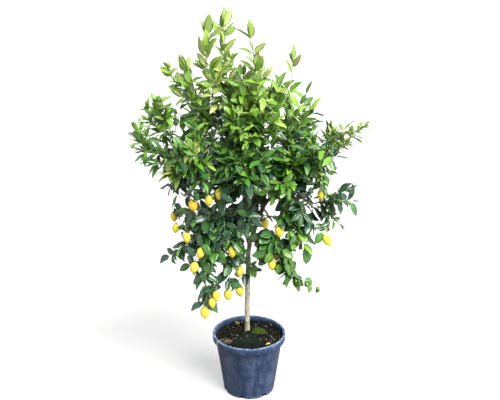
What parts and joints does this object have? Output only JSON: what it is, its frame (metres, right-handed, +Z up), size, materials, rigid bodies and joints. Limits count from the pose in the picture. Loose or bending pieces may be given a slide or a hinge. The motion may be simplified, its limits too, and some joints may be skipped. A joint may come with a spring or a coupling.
{
  "type": "potted lemon tree",
  "caption": "Grafted lemon tree with a forked trunk, leafy hanging branches and ripe yellow fruit, planted in a round flared nursery container of slate-blue plastic.",
  "frame": {"origin": "middle of the pot's underside, on the ground", "axes": "+Z up along the pot's axis; +X to the tree's right and +Y away from its front, seen from the front"},
  "size_m": [1.1901, 0.8004, 2.0845],
  "materials": {
    "plastic": "dusty, satin, slate-blue moulded plastic",
    "soil": null,
    "moss": "short bright green moss",
    "dark_moss": "dark bluish-green moss and weeds",
    "bark": "pale grey-beige bark with darker lengthwise cracks",
    "foliage": "waxy leaves, dark below and light yellow-green on the young tips",
    "peel": "waxy dimpled lemon peel",
    "dry_leaf": "dry fallen leaf",
    "straw": "dry straw"
  },
  "bodies": {
    "root": {"back_inner_branch": "foliage", "back_left_branch": "foliage", "back_low_branch": "foliage", "back_right_branch": "foliage", "back_top_branch": "foliage", "dark_moss": "dark_moss", "dry_straw": "straw", "fallen_leaf_back": "dry_leaf", "fallen_leaf_front": "dry_leaf", "front_branch": "foliage", "front_left_branch": "foliage", "front_right_branch": "foliage", "hanging_left_branch": "foliage", "hanging_right_branch": "foliage", "high_left_branch": "foliage", "inner_left_branch": "foliage", "left_branch": "foliage", "left_edge_branch": "foliage", "left_inner_branch": "foliage", "lemon_01": "peel", "lemon_02": "peel", "lemon_03": "peel", "lemon_04": "peel", "lemon_05": "peel", "lemon_06": "peel", "lemon_07": "peel", "lemon_08": "peel", "lemon_09": "peel", "lemon_10": "peel", "lemon_11": "peel", "lemon_12": "peel", "lemon_13": "peel", "lemon_14": "peel", "lemon_15": "peel", "lemon_16": "peel", "lemon_17": "peel", "lemon_18": "peel", "lemon_19": "peel", "lemon_20": "peel", "lemon_21": "peel", "lemon_22": "peel", "lemon_23": "peel", "lemon_24": "peel", "lemon_25": "peel", "lemon_26": "peel", "low_left_branch": "foliage", "low_right_branch": "foliage", "moss_cushion": "moss", "outer_left_branch": "foliage", "pot": "plastic", "potting_soil": "soil", "right_branch": "foliage", "right_inner_branch": "foliage", "right_middle_branch": "foliage", "top_left_branch": "foliage", "top_middle_branch": "foliage", "top_right_branch": "foliage", "trunk": "bark", "trunk_sprout": "foliage", "upper_front_branch": "foliage"}
  },
  "joints": []
}
